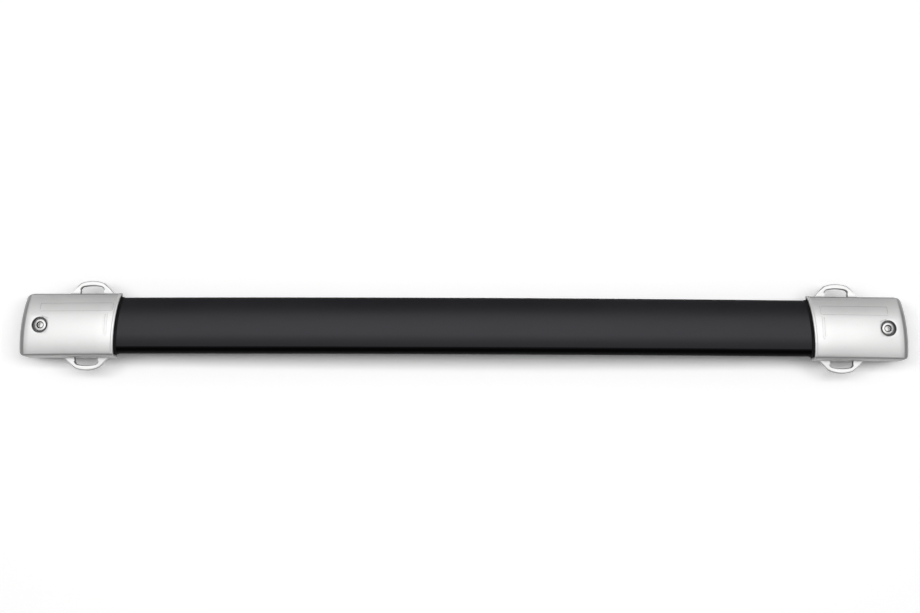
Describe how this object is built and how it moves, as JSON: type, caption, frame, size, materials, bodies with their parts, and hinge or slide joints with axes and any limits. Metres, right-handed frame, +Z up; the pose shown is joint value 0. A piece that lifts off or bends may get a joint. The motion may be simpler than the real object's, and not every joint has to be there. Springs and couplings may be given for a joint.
{
  "type": "roof rack crossbar",
  "caption": "Arched black aerofoil crossbar between silver clamp feet with tie-down loops and screw-drawn rail jaws.",
  "frame": {"origin": "midway between the feet, on the surface that the fixed hooks stand on", "axes": "+X along the bar, +Y towards the rear of the vehicle, +Z up"},
  "size_m": [1.0956, 0.1114, 0.0767],
  "materials": {
    "black_bar": "satin",
    "cast_silver": "satin",
    "rubber": "matte",
    "black_casting": "matte",
    "screw_steel": "satin",
    "zinc_steel": "satin"
  },
  "bodies": {
    "crossbar": {"bar": "black_bar", "left_end_cover": "cast_silver", "left_foot_base": "cast_silver", "left_mouth_seal": "rubber", "left_rail_pad": "rubber", "left_hook_liner": "rubber", "left_clamp_washer": "zinc_steel", "left_nut_plate": "zinc_steel", "left_bar_bolts": "zinc_steel", "left_case_screws": "zinc_steel", "right_end_cover": "cast_silver", "right_foot_base": "cast_silver", "right_mouth_seal": "rubber", "right_rail_pad": "rubber", "right_hook_liner": "rubber", "right_clamp_washer": "zinc_steel", "right_nut_plate": "zinc_steel", "right_bar_bolts": "zinc_steel", "right_case_screws": "zinc_steel"},
    "left_screw": {"left_clamp_screw": "screw_steel", "left_retaining_ring": "zinc_steel"},
    "left_jaw": {"left_clamp_jaw": "black_casting", "left_jaw_liner": "rubber", "left_jaw_nut": "zinc_steel"},
    "right_screw": {"right_clamp_screw": "screw_steel", "right_retaining_ring": "zinc_steel"},
    "right_jaw": {"right_clamp_jaw": "black_casting", "right_jaw_liner": "rubber", "right_jaw_nut": "zinc_steel"}
  },
  "joints": [
    {"name": "left_screw_turn", "type": "hinge", "parent": "crossbar", "child": "left_screw", "pos_m": [-0.521, 0, 0.04], "axis": [0, 0, 1], "range_deg": [0, 1440]},
    {"name": "left_jaw_slide", "type": "slide", "parent": "crossbar", "child": "left_jaw", "axis": [0, 0, -1], "range_m": [0, 0.005]},
    {"name": "right_screw_turn", "type": "hinge", "parent": "crossbar", "child": "right_screw", "pos_m": [0.521, 0, 0.04], "axis": [0, 0, 1], "range_deg": [0, 1440]},
    {"name": "right_jaw_slide", "type": "slide", "parent": "crossbar", "child": "right_jaw", "axis": [0, 0, -1], "range_m": [0, 0.005]}
  ],
  "couplings": [
    {"joint": "left_screw_turn", "follows": "left_jaw_slide", "rad_per_m": 5026.5},
    {"joint": "right_screw_turn", "follows": "right_jaw_slide", "rad_per_m": 5026.5}
  ]
}
